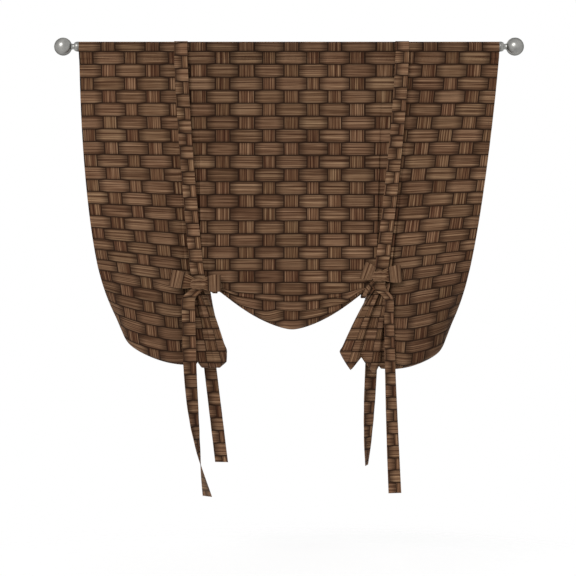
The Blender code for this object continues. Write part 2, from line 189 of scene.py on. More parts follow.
# How the gathered cloth carries the print
PRINT_DRAWN_UP = 0.0095
PRINT_DRAWN_OVER = 0.13
SWAG_PRINT_STRETCH = 0.71
SWAG_PRINT_BENT = 0.90
SWAG_FOLD_HIDES = 0.019
SIDE_PRINT_LEVELLED = 0.35
TAIL_PRINT_STRETCH = 1.15
TAIL_PRINT_SHOWN = 0.042

# The cloth's own threads, and the puckers along the pocket's seam
THREAD_PITCH = 0.0008
PUCKER_PITCH = 0.011
PUCKER_REACH = 0.010

# Bows: an ear's stops are shares of its length, depth and height
BOW_HEIGHT = 0.032
BOW_DEPTH = 0.016
BOW_LENGTH = 0.044
EAR_HEIGHT = 0.046
EAR_DEPTH = 0.014
EAR_STOPS = (
    (0.10, 0.25, 0.50), (0.50, 0.95, 0.92), (0.85, 0.95, 1.05), (1.0, 0.0, 1.0),
    (0.85, -0.95, 1.05), (0.50, -0.95, 0.92), (0.10, -0.25, 0.50),
)
EAR_CREASES = 2.5
EAR_CREASE_DEPTH = 0.0035
WRAP_CREASE = 0.0009
BOW_PRINT = (0.005, FIRST_ROW + 10 * ROW_PITCH)
TONGUE_WIDTH = 0.011
TONGUE_INSET = 0.017
TONGUE_SLACK = 0.002
TONGUE_SLANT = (0.65, 0.76)
TONGUE_PRINT = 0.02

# Stitches
STITCH_PITCH = 0.0034
STITCH_LENGTH = 0.0021
STITCH_WIDTH = 0.0005
STITCH_PROFILE = ((-0.5, 0.0), (-0.32, 1.0), (0.32, 1.0), (0.5, 0.0))
HEM_SEAM_INSET = 0.002
STRAP_SEAM_SHARE = 0.42
STRAP_SEAM_RISE = 0.0007

# The two sides are tied by hand and differ a little. Hem holds (share across, share of HANGING that drops),
# and cut tells where in the print a strap was cut and how much it is drawn in
SIDES = {
    "left": dict(
        sign=-1, strap_top=0.301, taken=0.100, held=0.058, onset=1.8, flare=0.067,
        hem=((TAIL_FOLD, 0.66), (0.40, 0.77), (0.55, 0.83), (0.88, 0.83), (0.95, 0.77), (1.0, 0.80)),
        raised=0.009, print_columns=4, ears=((0.078, math.radians(12)), (0.062, math.radians(2))),
        cut=dict(u=0.1075, v=0.0259, across=1.35, down=1.01),
        front_end=dict(top=0.278, low=0.226, late=2.6, drop=0.579, twist=math.radians(135), gathered=1.0),
        back_end=dict(top=0.248, low=0.190, late=1.0, drop=0.493, twist=math.radians(-12), gathered=0.9),
    ),
    "right": dict(
        sign=1, strap_top=0.315, taken=0.126, held=0.055, onset=1.2, flare=0.098,
        hem=((TAIL_FOLD, 0.67), (0.58, 0.855), (0.69, 0.72), (0.91, 0.90), (0.96, 0.81), (1.0, 0.84)),
        raised=0.031, print_columns=6, ears=((0.048, math.radians(20)), (0.062, math.radians(6))),
        cut=dict(u=0.1043, v=0.0359, across=1.35, down=1.08),
        front_end=dict(top=0.276, low=0.293, late=1.5, drop=0.570, twist=math.radians(14), gathered=0.66),
        back_end=dict(top=0.245, low=0.219, late=0.8, drop=0.502, twist=math.radians(76), gathered=0.9),
    ),
}


def srgb(red, green, blue):
    """A colour as it is seen, from 0 to 255, as the linear colour that a shader takes."""
    parts = [c / 255 for c in (red, green, blue)]
    return (*[c / 12.92 if c <= 0.04045 else ((c + 0.055) / 1.055) ** 2.4 for c in parts], 1.0)


def mix(a, b, share):
    """What lies a share of the way from a to b."""
    return a + (b - a) * share


def smooth_step(value, low, high):
    """0 before low and 1 past high, with a smooth rise between them."""
    t = np.clip((value - low) / (high - low), 0.0, 1.0)
    return t * t * (3 - 2 * t)


# Finishes


class Value:
    """What a node gives out; arithmetic on it adds Math nodes."""

    def __init__(self, graph, socket):
        self.graph = graph
        self.socket = socket

    def maths(self, operation, *values):
        """A Math node of any operation."""
        return self.graph.node("Math", {"operation": operation}, dict(enumerate(values)))

    def __add__(self, other):
        return self.maths("ADD", self, other)

    __radd__ = __add__

    def __mul__(self, other):
        return self.maths("MULTIPLY", self, other)

    __rmul__ = __mul__

    def __sub__(self, other):
        return self.maths("SUBTRACT", self, other)

    def __rsub__(self, other):
        return self.maths("SUBTRACT", other, self)

    def __truediv__(self, other):
        return self.maths("DIVIDE", self, other)

    def __rtruediv__(self, other):
        return self.maths("DIVIDE", other, self)

    def __mod__(self, other):
        return self.maths("FLOORED_MODULO", self, other)

    def __abs__(self):
        return self.maths("ABSOLUTE", self)

    def __floor__(self):
        return self.maths("FLOOR", self)

    def sine(self):
        return self.maths("SINE", self)

    def step(self, low, high, start=0.0, end=1.0):
        """Goes smoothly from start to end as the value goes from low to high."""
        settings = {"interpolation_type": "SMOOTHSTEP"}
        return self.graph.node("MapRange", settings, {0: self, 1: low, 2: high, 3: start, 4: end})

    def ramp(self, stops):
        """A colour for each value, through stops of (place, colour)."""
        return self.graph.node("ValToRGB", {"stops": stops}, {"Fac": self})


class Graph:
    """A node tree, and the one way in which nodes are added to it."""

    def __init__(self, tree):
        self.tree = tree

    def fill(self, socket, value):
        """Links a value to a socket, or writes a plain number or colour into it."""
        if isinstance(value, Value):
            self.tree.links.new(value.socket, socket)
        else:
            socket.default_value = value

    def node(self, kind, settings=None, values=None, output=0):
        """A new node of a kind, with its settings and then its sockets' values or links."""
        made = self.tree.nodes.new("ShaderNode" + kind)
        for label, setting in (settings or {}).items():
            if label == "stops":
                stops = made.color_ramp.elements
                while len(stops) < len(setting):
                    stops.new(0.5)
                for stop, (place, colour) in zip(stops, setting):
                    stop.position = place
                    stop.color = colour
            else:
                setattr(made, label, setting)
        for key, value in (values or {}).items():
            self.fill(made.inputs[key], value)
        return None if output is None else Value(self, made.outputs[output])


class Finish(Graph):
    """A material, with its Principled shader and the patterns that feed it."""

    def __init__(self, name, **settings):
        self.material = bpy.data.materials.new(name)
        self.material.use_nodes = True
        super().__init__(self.material.node_tree)
        self.shader = self.tree.nodes["Principled BSDF"]
        for label, value in settings.items():
            self.set(label.replace("_", " "), value)

    def set(self, label, value):
        self.fill(self.shader.inputs[label], value)

    def place(self):
        """U and v of the cloth, in metres, as each cloth mesh keeps them."""
        found = self.node("Attribute", {"attribute_name": "cloth"}, output=1)
        return [self.node("SeparateXYZ", values={0: found}, output=part) for part in (0, 1)]

    def noise(self, x, y, z=0.0, detail=2.0, roughness=0.5):
        """Soft noise from 0 to 1, about one patch for each unit of x, y and z."""
        where = self.node("CombineXYZ", values={0: x, 1: y, 2: z})
        settings = {"noise_dimensions": "3D"}
        values = {"Vector": where, "Scale": 1.0, "Detail": detail, "Roughness": roughness}
        return self.node("TexNoise", settings, values)

    def chance(self, x, y):
        """One fixed number from 0 to 1 for each pair of whole numbers."""
        where = self.node("CombineXYZ", values={0: x, 1: y})
        return self.node("TexWhiteNoise", {"noise_dimensions": "2D"}, {"Vector": where})

    def blend(self, share, first, second, way="MIX"):
        """A colour between two others."""
        settings = {"data_type": "RGBA", "blend_type": way}
        return self.node("Mix", settings, {0: share, 6: first, 7: second}, output=2)

    def bump(self, height, distance, strength, **under):
        """A normal for raised and sunk places, on top of the normal under it where one is given."""
        values = {"Height": height, "Distance": distance, "Strength": strength, **under}
        return self.node("Bump", values=values)


def basket_print(finish, u, v):
    """The colour of the print, in which brown bars and squares of cane weave over and under."""
    # No row or warp is quite straight, as in hand weaving
    across = u + PRINT_WANDER * (finish.noise(u * 5, v * 16) - 0.5)
    down = v + PRINT_WANDER * (finish.noise(u * 13, v * 6, 4.0) - 0.5)

    row_place = (down - FIRST_ROW) / ROW_PITCH
    row = math.floor(row_place)
    height = (row_place - row - 0.5) * ROW_PITCH
    odd = row % 2.0
    column_place = (across - FIRST_WARP) / WARP_PITCH + 0.5 + 0.5 * (1 - odd)
    column = math.floor(column_place)
    bar = math.floor(column_place + 0.5)
    from_warp = (column_place - column - 0.5) * WARP_PITCH
    warp_chance = finish.chance(column + 17.0 * odd, 3.0)
    warp_half = (WARP_WIDTHS[0] + (WARP_WIDTHS[1] - WARP_WIDTHS[0]) * odd) / 2
    warp_half = warp_half + WARP_VARIES / 2 * (2 * warp_chance - 1)
    outside = abs(from_warp) - warp_half

    # Bars, which bulge a little between the warps that they pass under
    bar_inside = outside - GAP_ACROSS
    end_share = bar_inside.step(0.0, 0.030, 1.0, 0.0)
    bar_edge = ROW_PITCH / 2 - GAP_DOWN / 2 - 0.0017 * end_share * end_share - abs(height)
    bar_mask = bar_inside.step(0.0, 0.0018) * bar_edge.step(0.0, 0.0020)
    bar_shade = bar_inside.step(0.0, 0.026, 0.38, 1.0) * bar_edge.step(0.0, 0.008, 0.62, 1.0)
    warp_edge = ROW_PITCH / 2 - GAP_DOWN * 0.9 - abs(height)
    warp_mask = outside.step(-0.0018, 0.0, 1.0, 0.0) * warp_edge.step(0.0, 0.0020)
    warp_shade = warp_edge.step(0.0, 0.008, 0.58, 1.0) * outside.step(-0.008, 0.0, 1.0, 0.82)

    # The cane's fibres run along each bar and down each square
    bar_chance = finish.chance(bar, row)
    square_chance = finish.chance(column, row + 0.5)
    along = finish.noise(u * 5, v * 330, row * 3.7, detail=3.0, roughness=0.6)
    upright = finish.noise(u * 330, v * 5, column * 3.7, detail=3.0, roughness=0.6)
    bar_colour = (along + 0.08 * (bar_chance - 0.5)).ramp([
        (0.30, srgb(56, 36, 23)), (0.43, srgb(92, 67, 49)),
        (0.53, srgb(120, 93, 71)), (0.68, srgb(153, 125, 98)),
    ])
    square_colour = (1.1 * (upright - 0.5) + 0.49 + 0.06 * (square_chance - 0.5)).ramp([
        (0.30, srgb(58, 34, 22)), (0.42, srgb(88, 61, 44)),
        (0.53, srgb(117, 90, 67)), (0.66, srgb(153, 125, 98)),
    ])
    tint = [(0.0, srgb(132, 98, 84)), (0.5, srgb(128, 104, 84)), (1.0, srgb(122, 108, 74))]
    bar_colour = finish.blend(0.30, bar_colour, finish.chance(bar + 5.0, row).ramp(tint), "OVERLAY")
    square_colour = finish.blend(0.40, square_colour, finish.chance(row, column).ramp(tint), "OVERLAY")

    # Dark lines part the strands of each square, and a reddish crack runs along many of the bars
    strand_place = from_warp + 0.0030 * finish.noise(u * 50, v * 3, row + 7 * column)
    strand = (strand_place * (2 * math.pi / STRAND_PITCH)).sine()
    square_colour = finish.blend(strand.step(0.45, 1.0, 0.0, 0.75), square_colour, srgb(52, 30, 18))
    grain_place = height + 0.0030 * finish.noise(u * 7, v * 60, bar)
    grain = (grain_place * (2 * math.pi / GRAIN_PITCH)).sine()
    bar_colour = finish.blend(grain.step(0.65, 1.0, 0.0, 0.40), bar_colour, srgb(60, 38, 25))
    crack_place = abs(height + 0.0040 + 0.0012 * (finish.noise(u * 20, row * 9) - 0.5))
    crack = crack_place.step(0.0004, 0.0016, 1.0, 0.0) * bar_chance.step(0.10, 0.50, 0.40, 0.95)
    bar_colour = finish.blend(crack, bar_colour, srgb(50, 26, 14))

    gap = srgb(36, 22, 13)
    colour = finish.blend(bar_mask * bar_shade, gap, bar_colour)
    return finish.blend(warp_mask * warp_shade, colour, square_colour)


def weave_bump(finish, u, v):
    """The cloth's own fine threads, with slubs, and puckers along the pocket's seam."""
    turns = 2 * math.pi / THREAD_PITCH
    threads = (u * turns).sine() * (v * turns).sine()
    slubs = finish.noise(u * 60, v * 900, detail=1.0) + finish.noise(u * 900, v * 60, 2.0, detail=1.0)
    fine = finish.bump(0.5 * threads + slubs, 0.00012, 0.5)
    near_seam = abs(v - SEAM_V).step(0.0, PUCKER_REACH, 1.0, 0.0)
    puckers = (u * (2 * math.pi / PUCKER_PITCH)).sine() * near_seam
    return finish.bump(puckers, 0.0005, 0.6, Normal=fine)


def cloth_finish(name, painted_light, reverse):
    """Printed polyester, with painted shading on the pocket's top, painted light on the sides above and
    painted shading low on them, and duller on its back.
    """
    finish = Finish(name, Metallic=0.0, Specular_IOR_Level=0.08)
    u, v = finish.place()
    colour = basket_print(finish, u, v)
    clouds = finish.noise(u * 4, v * 4, 9.0).step(0.3, 0.7, 0.98, 1.12)
    # Painted shading: the pocket's top, over the rod, is darker, and the cloth below it a little lighter
    painted_pocket_shading = v.step(0.020, 0.040, 0.81, 1.06)
    # Painted light on the outer sides above, turning to painted shading low on them
    beside = abs(u).step(0.24, 0.36) * v.step(0.50, 0.85, 0.10, -0.09)
    value = clouds * painted_pocket_shading * painted_light * (1 + beside)
    colour = finish.node("HueSaturation", values={"Value": value, "Color": colour})
    if reverse:
        colour = finish.blend(REVERSE_DULLED, colour, srgb(106, 90, 74))
    finish.set("Base Color", colour)
    finish.set("Roughness", finish.noise(u * 40, v * 40).step(0.3, 0.7, 0.80, 0.92))
    finish.set("Normal", weave_bump(finish, u, v))
    return finish.material


def cloth_finishes(name, painted_light):
    """The cloth's face and its reverse."""
    return [cloth_finish(f"{name}_face", painted_light, False), cloth_finish(f"{name}_reverse", painted_light, True)]


def thread_finish():
    """Two-ply sewing thread in the brown of the print."""
    finish = Finish("sewing_thread", Roughness=0.55, Specular_IOR_Level=0.4)
    where = finish.node("TexCoord", output=3)
    settings = {"bands_direction": "DIAGONAL"}
    ply = finish.node("TexWave", settings, {"Vector": where, "Scale": 900.0}, output=1)
    finish.set("Base Color", ply.ramp([(0.0, srgb(48, 34, 23)), (1.0, srgb(74, 55, 40))]))
    return finish.material


def nickel_finish():
    """Satin nickel, with the faint rings that turning and brushing leave."""
    finish = Finish("satin_nickel_turned", Metallic=1.0, Specular_Tint=(0.30, 0.30, 0.30, 1.0))
    where = finish.node("TexCoord", output=3)
    x = finish.node("SeparateXYZ", values={0: where}, output=0)
    rings = finish.noise(x * 2600, 0.0, detail=2.0)
    smears = finish.node("TexNoise", values={"Vector": where, "Scale": 55.0, "Detail": 3.0})
    finish.set("Base Color", smears.ramp([(0.30, srgb(131, 130, 127)), (0.70, srgb(156, 155, 151))]))
    finish.set("Roughness", (0.6 * rings + 0.4 * smears).step(0.25, 0.75, 0.26, 0.42))
    finish.set("Normal", finish.bump(rings, 0.00002, 0.5))
    return finish.material


def steel_finish():
    """Zinc plate, with its pale clouds."""
    finish = Finish("zinc_plated_tube", Metallic=1.0)
    where = finish.node("TexCoord", output=3)
    spangle = finish.node("TexNoise", values={"Vector": where, "Scale": 90.0, "Detail": 3.0})
    finish.set("Base Color", spangle.ramp([(0.30, srgb(150, 150, 148)), (0.70, srgb(178, 178, 175))]))
    finish.set("Roughness", spangle.step(0.25, 0.75, 0.26, 0.42))
    return finish.material


def floor_finish():
    """White ground that keeps the shadow, fades out at its rim and isn't seen from below."""
    finish = Finish("pale_floor", Base_Color=srgb(240, 240, 240), Roughness=0.8, Specular_IOR_Level=0.0)
    finish.set("Emission Color", (1.0, 1.0, 1.0, 1.0))
    finish.set("Emission Strength", FLOOR_GLOW)
    where = finish.node("TexCoord", output=3)
    length = finish.node("VectorMath", {"operation": "LENGTH"}, {0: where}, output=1)
    below = finish.node("NewGeometry", output="Backfacing")
    finish.set("Alpha", length.step(*FLOOR_FADES, 1.0, 0.0) * (1 - below))
    return finish.material


# Camera, light and floor


def make_camera():
    """A level camera straight in front, whose picture has the photograph's scale at the rod."""
    data = bpy.data.cameras.new("camera")
    data.sensor_width = 36.0
    data.lens = data.sensor_width * VIEW_DISTANCE / VIEW_WIDTH
    data.clip_end = 100.0
    camera = bpy.data.objects.new("camera", data)
    camera.location = (VIEW_CENTRE[0], -VIEW_DISTANCE, VIEW_CENTRE[1])
    camera.rotation_euler = (math.radians(90), 0, 0)
    bpy.context.scene.collection.objects.link(camera)
    bpy.context.scene.camera = camera


def make_world():
    """Even light from all round; seen straight, or in a reflection, it is white."""
    world = bpy.data.worlds.new("white_surround")
    bpy.context.scene.world = world
    world.use_nodes = True
    tree = world.node_tree
    tree.nodes.clear()
    light = Graph(tree)
    white = (1.0, 1.0, 1.0, 1.0)
    seen = light.node("LightPath", output="Is Camera Ray")
    for ray in ("Is Glossy Ray", "Is Transmission Ray"):
        seen = seen.maths("MAXIMUM", seen, light.node("LightPath", output=ray))
    lit = light.node("Background", values={"Color": white, "Strength": WORLD_LIGHT})
    plain = light.node("Background", values={"Color": white, "Strength": 1.0})
    choice = light.node("MixShader", values={0: seen, 1: lit, 2: plain})
    light.node("OutputWorld", values={"Surface": choice}, output=None)


def make_lamp(name, way, strength):
    """A distant, soft lamp whose light travels one way."""
    data = bpy.data.lights.new(name, "SUN")
    data.energy = strength
    data.angle = LAMP_SOFTNESS
    lamp = bpy.data.objects.new(name, data)
    lamp.rotation_euler = Vector(way).to_track_quat("-Z", "Y").to_euler()
    bpy.context.scene.collection.objects.link(lamp)


def make_floor(finish):
    """A round ground below the cloth, which takes its shadow."""
    mesh = bmesh.new()
    bmesh.ops.create_circle(mesh, cap_ends=True, segments=96, radius=FLOOR_RADIUS)
    data = bpy.data.meshes.new("floor")
    mesh.to_mesh(data)
    mesh.free()
    data.materials.append(finish)
    floor = bpy.data.objects.new("floor", data)
    floor.location = (0, 0, FLOOR_Z)
    bpy.context.scene.collection.objects.link(floor)


# Cloth meshes


def run_along(points):
    """How far each point of a line is along it."""
    return np.concatenate([[0.0], np.cumsum(np.linalg.norm(np.diff(points, axis=0), axis=1))])


def cloth_piece(name, grid, u, v, thickness, finishes, ring=False):
    """Cloth from a grid of points, each with its u and v: a face on each side and a rim round them, or a rim
    at each end where the grid closes on itself as a ring."""
    rows, columns = grid.shape[:2]
    if ring:
        down = np.roll(grid, -1, axis=0) - np.roll(grid, 1, axis=0)
    else:
        down = np.gradient(grid, axis=0)
    across = np.gradient(grid, axis=1)
    normal = np.cross(down, across)
    normal /= np.maximum(np.linalg.norm(normal, axis=2, keepdims=True), 1e-12)
    half = np.broadcast_to(thickness, (rows, columns))[..., None] / 2
    points = np.concatenate([(grid + normal * half).reshape(-1, 3), (grid - normal * half).reshape(-1, 3)])

    index = np.arange(rows * columns).reshape(rows, columns)
    if ring:
        index = np.vstack([index, index[:1]])
    corners = (index[:-1, :-1], index[1:, :-1], index[1:, 1:], index[:-1, 1:])
    front = np.stack([c.ravel() for c in corners], axis=1)
    back = front[:, ::-1] + rows * columns
    borders = [index[:, 0][::-1], index[:, -1]]
    if not ring:
        borders += [index[0], index[-1][::-1]]
    rims = [
        np.stack([line[:-1], line[:-1] + rows * columns, line[1:] + rows * columns, line[1:]], axis=1)
        for line in borders
    ]
    faces = np.vstack([front, back, *rims])

    mesh = bpy.data.meshes.new(name)
    mesh.from_pydata(points.tolist(), [], faces.tolist())
    places = np.stack([np.broadcast_to(part, (rows, columns)) for part in (u, v, 0.0)], axis=-1)
    kept = mesh.attributes.new("cloth", "FLOAT_VECTOR", "POINT")
    kept.data.foreach_set("vector", np.stack([places, places]).ravel())
    for finish in finishes:
        mesh.materials.append(finish)
    reverse = np.zeros(len(faces), dtype=np.int32)
    reverse[len(front):2 * len(front)] = 1
    mesh.polygons.foreach_set("material_index", reverse)
    mesh.shade_smooth()
    mesh.set_sharp_from_angle(angle=math.radians(60))
    return add_piece(name, mesh)


def add_piece(name, mesh):
    """A mesh as a piece that rides on the one body."""
    piece = bpy.data.objects.new(name, mesh)
    bpy.context.scene.collection.objects.link(piece)
    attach(piece, "root")
    return piece


# The panel's shape


def tie_centre(side):
    """X of the middle of the cloth that a tie holds."""
    return side["sign"] * (GATHER_INNER + side["held"] / 2)


def pocket(v):
    """Y and z of the cloth round the rod: v is 0 on top, positive at the front, negative at the back."""
    distance = np.abs(v)
    angle = np.minimum(distance / POCKET_RADIUS, POCKET_TURN)
    share = np.clip((distance - POCKET_ARC) / POCKET_FLAT, 0.0, 1.0)
    y = mix(POCKET_RADIUS * np.sin(angle), -PANEL_Y, share)
    z = mix(POCKET_RADIUS * np.cos(angle), -SEAM_DROP, share)
    return -np.sign(v) * y, POCKET_CENTRE + z


def hook(w, drop, turn):
    """How far down and back a column of cloth is at w below the tie: a run, then a curl at its low end."""
    curl = np.minimum(HEM_CURL, drop * MOST_CURLED)
    run = drop - curl
    along = w / HANGING * (run + curl * turn)
    angle = np.maximum(along - run, 0.0) / curl
    return np.minimum(along, run) + curl * np.sin(angle), curl * (1 - np.cos(angle))


def swag_drop(u):
    """How far the hem hangs below the ties between them: most at the swag's low point, and never none."""
    off = np.abs(u - SWAG_CENTRE)
    rise = SWAG_SLOPE * (np.hypot(off, SWAG_POINT) - SWAG_POINT) + SWAG_BEND * off**2
    free = SWAG_DROP - rise
    return (free + np.hypot(free, 2 * LEAST_DROP)) / 2


def middle_points(u, v):
    """Between the straps: a flat panel, and below the ties a swag that bellies forward."""
    w = np.maximum(v - TIE_V, 0.0)
    drop = swag_drop(u)
    down, back = hook(w, drop, SWAG_TURN)
    belly = SWAG_FULLNESS * drop / SWAG_DROP * np.sin(math.pi * w / HANGING)
    z = SEAM_V - POCKET_DEPTH - np.minimum(v, TIE_V) - down
    return np.stack([u, PANEL_Y + back - belly, z], axis=-1)


def side_points(side, distance, v):
    """Beside the swag: pleats behind the strap that open as a tail, then a full side with a curled edge."""
    sign = side["sign"]
    places, drops = zip(*side["hem"])
    tip = drops[0] * HANGING
    share = np.clip((distance - GATHER_INNER) / side["taken"], 0.0, 1.0)
    gone = np.clip((v - SEAM_V) / (TIE_V - SEAM_V), 0.0, 1.0)
    w = np.maximum(v - TIE_V, 0.0)
    low = w / HANGING
    held = mix(side["taken"], side["held"], gone ** side["onset"])
    x = GATHER_INNER + share * held
    part = (PLEATS * share) % 1.0
    ridge = np.where(part < PLEAT_RISE, part / PLEAT_RISE, (1 - part) / (1 - PLEAT_RISE))
    ridge = (1 - np.cos(math.pi * ridge)) / 2
    pleat = PLEAT_DEPTH * gone**1.5 * ridge
    x = x + PLEAT_LEAN * gone**1.5 * (1 - low) * ridge**2
    fold = np.minimum(share / TAIL_FOLD, 1.0)
    past = np.maximum((share - TAIL_FOLD) / (1 - TAIL_FOLD), 0.0)
    inner_drop = mix(swag_drop(sign * GATHER_INNER), tip, fold**TAIL_BOWED)
    drop = np.where(fold < 1, inner_drop, np.interp(share, places, drops) * HANGING)
    down, back = hook(w, drop, mix(SWAG_TURN, SIDE_TURN, fold))
    inwards = mix(side["flare"], SIDE_SHIFT, past) * mix(0.3, 1.0, fold) * (down / tip) ** TAIL_BOWED
    lap = TAIL_LAP * fold * (1 - fold) * np.minimum(3 * down / tip, 1.0)
    x = x - inwards
    y = PANEL_Y + back + lap - pleat * (1 - 0.5 * down / drop)
    z = SEAM_V - POCKET_DEPTH - np.minimum(v, TIE_V) - down

    width = PANEL_WIDTH / 2 - GATHER_INNER - side["taken"]
    off = np.maximum(distance - GATHER_INNER - side["taken"], 0.0)
    tilt = TILT_AT_TIE * gone**2.5 + (TILT_AT_HEM - TILT_AT_TIE) * low
    bend = EDGE_CURL * mix(mix(0.02, 0.22, gone**0.4), 1.0, low**1.5)
    radius = EDGE_CURL_LENGTH / bend
    angle = np.maximum(off - (width - EDGE_CURL_LENGTH), 0.0) / radius
    reach = np.minimum(off, width - EDGE_CURL_LENGTH) + radius * np.sin(angle)
    full = 0.5 * gone**3 + 0.5 * np.sin(math.pi * low)
    across = off / width
    belly = SIDE_FULLNESS * full * np.sin(math.pi * across**0.8)
    sag = SIDE_SAG * low * 4 * across * (1 - across)
    x = x + reach * np.cos(tilt)
    y = y + radius * (1 - np.cos(angle)) - belly
    z = z + reach * np.sin(tilt) - sag
    return np.stack([sign * x, y, z], axis=-1)


def cloth_points(u, v):
    """The places of points of the cloth, before its small folds."""
    points = middle_points(u, v)
    for side in SIDES.values():
        beside = u * side["sign"] > GATHER_INNER
        points[beside] = side_points(side, np.abs(u[beside]), v[beside])
    in_pocket = v < SEAM_V
    y, z = pocket(v[in_pocket])
    points[in_pocket, 1] = y
    points[in_pocket, 2] = z
    return points


def folded_under(u, v):
    """For each fold of the swag, whether a point is under it, from 0 to 1, and how far past its edge."""
    low = (v - TIE_V) / HANGING
    folds = []
    for level, slant, first, last in SWAG_FOLDS:
        begun = smooth_step(u, first - SWAG_FOLD_ENDS, first + SWAG_FOLD_ENDS)
        ended = smooth_step(u, last - SWAG_FOLD_ENDS, last + SWAG_FOLD_ENDS)
        past = low - level - slant * (u - first)
        folds.append((begun * (1 - ended) * smooth_step(past, -SWAG_FOLD_SOFT, SWAG_FOLD_SOFT), past))
    return folds


def small_folds(points, u, v):
    """Moves cloth forward or back in soft waves, in folds across the swag and in creases from the ties."""
    x, z = points[..., 0], points[..., 2]
    hang = smooth_step(v, SEAM_V, SEAM_V + 0.25)
    free = 1 - smooth_step(np.abs(np.abs(u) - GATHER_INNER - 0.06), 0.09, 0.05)
    waves = (
        np.sin(x * 21 + 1.3) * np.sin(z * 4.0 + 0.5)
        + 0.6 * np.sin(x * 47 + z * 6 + 2.0)
        + 0.4 * np.sin(x * 83 - z * 9)
    )
    move = WAVE_DEPTH * waves * hang * free
    seam = np.exp(-np.maximum(v - SEAM_V, 0.0) / 0.05) * (v > 0)
    move += SEAM_PUCKER_DEPTH * np.sin(u * 260 + 2 * np.sin(u * 31)) * seam * free
    for under, past in folded_under(u, v):
        move += SWAG_FOLD_DEPTH * under * np.exp(-np.maximum(past, 0.0) / SWAG_FOLD_FADE)
    for side in SIDES.values():
        off = x - tie_centre(side)
        away = np.hypot(off, z + TIE_DEPTH)
        angle = np.arctan2(z + TIE_DEPTH, off * side["sign"])
        strength = smooth_step(away, 0.03, 0.07) * np.exp(-away / 0.10) * free
        move -= TIE_CREASE_DEPTH * strength * np.cos(11 * angle + 7 * away + side["sign"])
    points[..., 1] += move * np.sign(np.maximum(v - 0.010, 0.0))
    return points


def print_rows(z, u, v):
    """V where the print is read: less of it is lost in the swag's folds than of the cloth, its rows stay
    level in the pleated tails, and they stand a little higher where the cloth bows out above the ties."""
    below = np.maximum(v - TIE_V, 0.0)
    drop = swag_drop(u)
    curl = np.minimum(HEM_CURL, drop * MOST_CURLED)
    along = below / HANGING * (drop - curl + curl * SWAG_TURN) / SWAG_PRINT_STRETCH
    along = mix(along, below / HANGING * SWAG_DROP / SWAG_PRINT_STRETCH, SWAG_PRINT_BENT)
    inside = 1 - smooth_step(np.abs(u), GATHER_INNER - 0.06, GATHER_INNER)
    in_tails = np.zeros_like(u)
    for side in SIDES.values():
        past = u * side["sign"] - GATHER_INNER
        in_tails += smooth_step(past, -0.01, 0.0) * (1 - smooth_step(past - side["taken"], 0.0, 0.10))
    in_tails *= v > TIE_V
    level = (-TIE_DEPTH - z) * TAIL_PRINT_STRETCH
    under_tie = mix(mix(below, level, in_tails), along, inside)
    for under, _ in folded_under(u, v):
        under_tie = under_tie + SWAG_FOLD_HIDES * under
    lift = z + POCKET_DEPTH - SEAM_V + np.minimum(v, TIE_V) + below / TAIL_PRINT_STRETCH
    levelled = SIDE_PRINT_LEVELLED * lift * (np.abs(u) > GATHER_INNER) * (v > SEAM_V)
    drawn_up = PRINT_DRAWN_UP * smooth_step(v, TIE_V - PRINT_DRAWN_OVER, TIE_V)
    return np.where(v > TIE_V, TIE_V + under_tie, v) - levelled * (1 - in_tails) + drawn_up


def tail_columns(side, u):
    """U where the print is read in a tail, whose narrow pleats hide what lies between its columns."""
    half_pitch = WARP_PITCH / 2
    width = side["taken"] / side["print_columns"]
    outer = GATHER_INNER + side["taken"]
    column = np.floor((outer - u * side["sign"]) / width)
    middle = side["sign"] * (outer - (column + 0.5) * width)
    first = round((side["sign"] * (outer - width / 2) - FIRST_WARP) / half_pitch)
    centre = FIRST_WARP + (first - side["sign"] * column) * half_pitch
    return centre + (u - middle) / width * TAIL_PRINT_SHOWN


def print_columns(u, v):
    """U where the print is read: its columns stand unevenly, and the tails show a part of each."""
    places, shifts = zip(*PRINT_SHIFTS)
    across = u + np.interp(u, places, shifts)
    for side in SIDES.values():
        past = u * side["sign"] - GATHER_INNER
        in_tail = (past > 0) & (past < side["taken"]) & (v > TIE_V - 0.7 * side["raised"])
        across = np.where(in_tail, tail_columns(side, u), across)
    return across


def spaced(*stops):
    """Even steps from each stop of (place, steps) to the next, and the place of the last."""
    parts = [
        np.linspace(place, following, steps, endpoint=False)
        for (place, steps), (following, _) in zip(stops, stops[1:])
    ]
    return np.concatenate([*parts, [stops[-1][0]]])


def panel_columns():
    """U of each column: close together at the hems and where the cloth is pleated."""
    edge = PANEL_WIDTH / 2
    left = GATHER_INNER + SIDES["left"]["taken"]
    right = GATHER_INNER + SIDES["right"]["taken"]
    hem = edge - SIDE_HEM
    return spaced(
        (-edge, 3), (-hem, 1), (-hem + HEM_STEP, 40), (-left, 60), (-GATHER_INNER, 84),
        (GATHER_INNER, 66), (right, 40), (hem - HEM_STEP, 1), (hem, 3), (edge, 0),
    )


def panel_rows():
    """V of each row: close together on the pocket, in the swag's folds and at the bottom hem."""
    before_seam = SEAM_V - 0.001
    folds_start = TIE_V + 0.14 * HANGING
    folds_end = TIE_V + 0.36 * HANGING
    hem = PANEL_LENGTH - BOTTOM_HEM
    return spaced(
        (-SEAM_V, 16), (0.0, 16), (before_seam, 1), (SEAM_V, 52), (TIE_V, 8), (folds_start, 24),
        (folds_end, 36), (hem - HEM_STEP, 1), (hem, 6), (PANEL_LENGTH, 0),
    )


def panel_thickness(u, v):
    """Thicker where a hem is turned under at the sides and the bottom."""
    side_edge = PANEL_WIDTH / 2 - SIDE_HEM
    bottom_edge = PANEL_LENGTH - BOTTOM_HEM
    side_hem = smooth_step(np.abs(u), side_edge - HEM_STEP, side_edge)
    bottom_hem = smooth_step(v, bottom_edge - HEM_STEP, bottom_edge)
    hems = np.maximum(side_hem * (v > SEAM_V), bottom_hem)
    return CLOTH + HEM_EXTRA * hems


def panel_surface(u, v):
    """The places of points of the cloth, with its small folds."""
    return small_folds(cloth_points(u, v), u, v)


